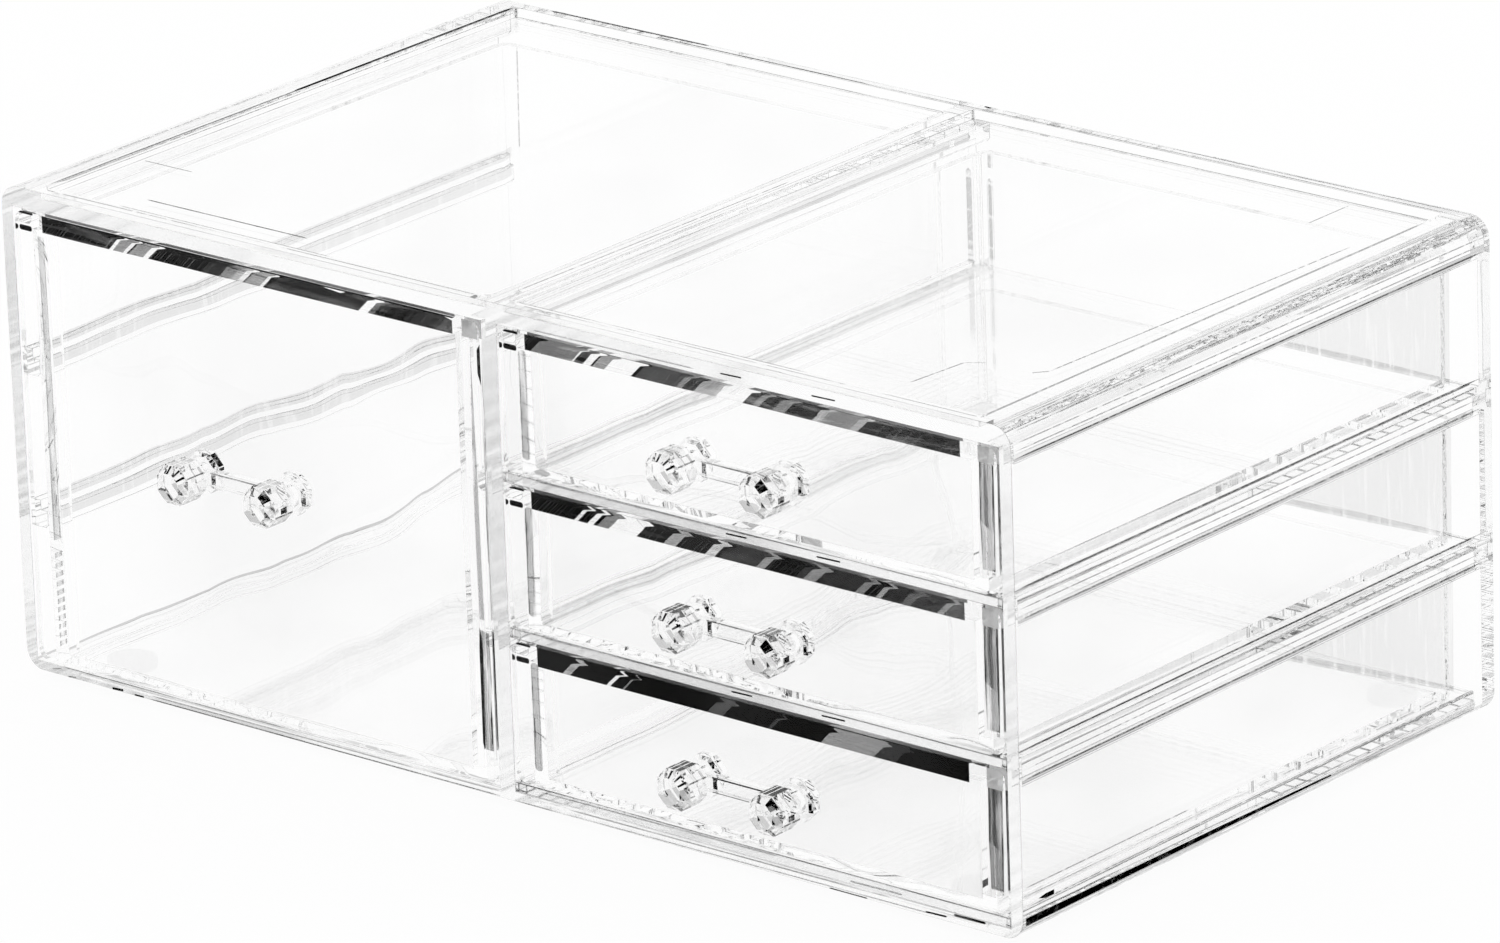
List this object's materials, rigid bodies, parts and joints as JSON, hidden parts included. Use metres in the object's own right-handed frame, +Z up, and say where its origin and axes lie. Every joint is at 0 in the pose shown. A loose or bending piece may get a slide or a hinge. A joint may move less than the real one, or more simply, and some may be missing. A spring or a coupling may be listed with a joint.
{
  "type": "makeup organizer drawers",
  "caption": "Clear plastic desktop case with a tall drawer on the left, a stack of shallow drawers on the right, barbell handles and a rimmed top that another case stacks on",
  "frame": {"origin": "centre of the overall box, on the surface that the pads rest on", "axes": "+X to the right along the drawer fronts, +Y from the fronts to the back, +Z up"},
  "size_m": [0.298, 0.1876, 0.1214],
  "materials": {
    "clear_case": "clear moulded acrylic, polished",
    "clear_drawer": "clear moulded acrylic, polished",
    "clear_fittings": "clear moulded acrylic, polished",
    "clear_handle": "clear moulded acrylic with cut facets",
    "soft_pad": "soft translucent pad"
  },
  "bodies": {
    "case": {"case_shell": "clear_case", "back_panel": "clear_case", "divider": "clear_case", "rails_left_wall": "clear_fittings", "rails_divider_left": "clear_fittings", "rails_divider_right": "clear_fittings", "rails_right_wall": "clear_fittings", "shelf_upper": "clear_fittings", "shelf_lower": "clear_fittings", "shelf_bottom": "clear_fittings", "pad_front_left": "soft_pad", "pad_front_right": "soft_pad", "pad_back_left": "soft_pad", "pad_back_right": "soft_pad"},
    "drawer_tall": {"tray_tall": "clear_drawer", "front_tall": "clear_drawer", "handle_tall": "clear_handle"},
    "drawer_top": {"tray_top": "clear_drawer", "front_top": "clear_drawer", "handle_top": "clear_handle"},
    "drawer_middle": {"tray_middle": "clear_drawer", "front_middle": "clear_drawer", "handle_middle": "clear_handle"},
    "drawer_bottom": {"tray_bottom": "clear_drawer", "front_bottom": "clear_drawer", "handle_bottom": "clear_handle"}
  },
  "joints": [
    {"name": "slide_tall", "type": "slide", "parent": "case", "child": "drawer_tall", "axis": [0, -1, 0], "range_m": [0, 0.125]},
    {"name": "slide_top", "type": "slide", "parent": "case", "child": "drawer_top", "axis": [0, -1, 0], "range_m": [0, 0.125]},
    {"name": "slide_middle", "type": "slide", "parent": "case", "child": "drawer_middle", "axis": [0, -1, 0], "range_m": [0, 0.125]},
    {"name": "slide_bottom", "type": "slide", "parent": "case", "child": "drawer_bottom", "axis": [0, -1, 0], "range_m": [0, 0.125]}
  ]
}
